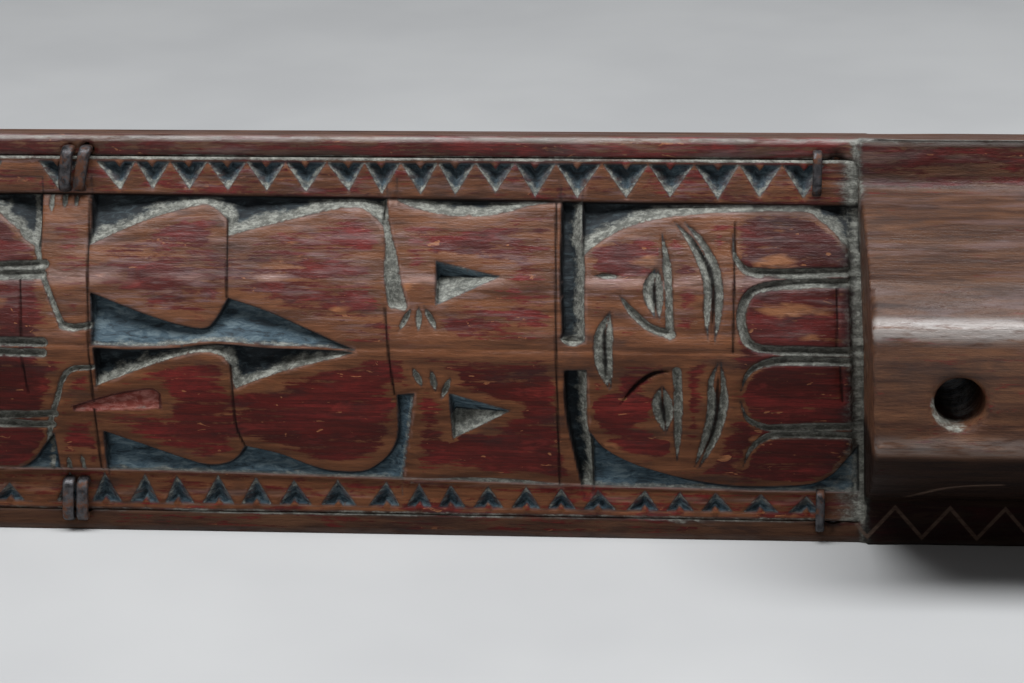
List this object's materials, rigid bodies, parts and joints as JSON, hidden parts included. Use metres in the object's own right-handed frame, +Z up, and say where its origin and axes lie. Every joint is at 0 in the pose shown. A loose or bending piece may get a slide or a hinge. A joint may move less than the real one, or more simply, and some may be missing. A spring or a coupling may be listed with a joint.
{
  "type": "rainstick",
  "caption": "Carved wooden rainstick: hollowed bar with solid end blocks, a stapled relief-carved cover panel, inner pegs and running seeds.",
  "frame": {"origin": "under the middle of the stick's bounding box, on the plane that its lower long side rests on", "axes": "+X along the stick towards the block at the head of the carved figures, -Y out of the carved side, +Z up; the carved face leans back 7 degrees"},
  "size_m": [0.435, 0.0534, 0.0526],
  "materials": {
    "body_wood": "worn dark red paint over hewn wood",
    "panel_wood": "carved, red and blue-black paint, worn to bare wood",
    "old_iron": "hand-forged, dark, rusted",
    "peg_wood": "whittled, bare",
    "seed": "dry, smooth"
  },
  "bodies": {
    "stick": {"stick_body": "body_wood", "cover_panel": "panel_wood", "corner_nails": "old_iron", "upper_pair_staples": "old_iron", "lower_pair_staples": "old_iron", "upper_end_staples": "old_iron", "lower_end_staples": "old_iron", "peg_row_1": "peg_wood", "peg_row_2": "peg_wood", "peg_row_3": "peg_wood", "peg_row_4": "peg_wood", "peg_row_5": "peg_wood"},
    "seeds_1": {"seed_stream_1": "seed"},
    "seeds_2": {"seed_stream_2": "seed"},
    "seeds_3": {"seed_stream_3": "seed"},
    "seeds_4": {"seed_stream_4": "seed"}
  },
  "joints": [
    {"name": "seeds_1_run", "type": "slide", "parent": "stick", "child": "seeds_1", "axis": [1, 0, 0], "range_m": [-0.102, 0.102]},
    {"name": "seeds_2_run", "type": "slide", "parent": "stick", "child": "seeds_2", "axis": [1, 0, 0], "range_m": [-0.10655, 0.10655]},
    {"name": "seeds_3_run", "type": "slide", "parent": "stick", "child": "seeds_3", "axis": [1, 0, 0], "range_m": [-0.11338, 0.11338]},
    {"name": "seeds_4_run", "type": "slide", "parent": "stick", "child": "seeds_4", "axis": [1, 0, 0], "range_m": [-0.1202, 0.1202]}
  ]
}
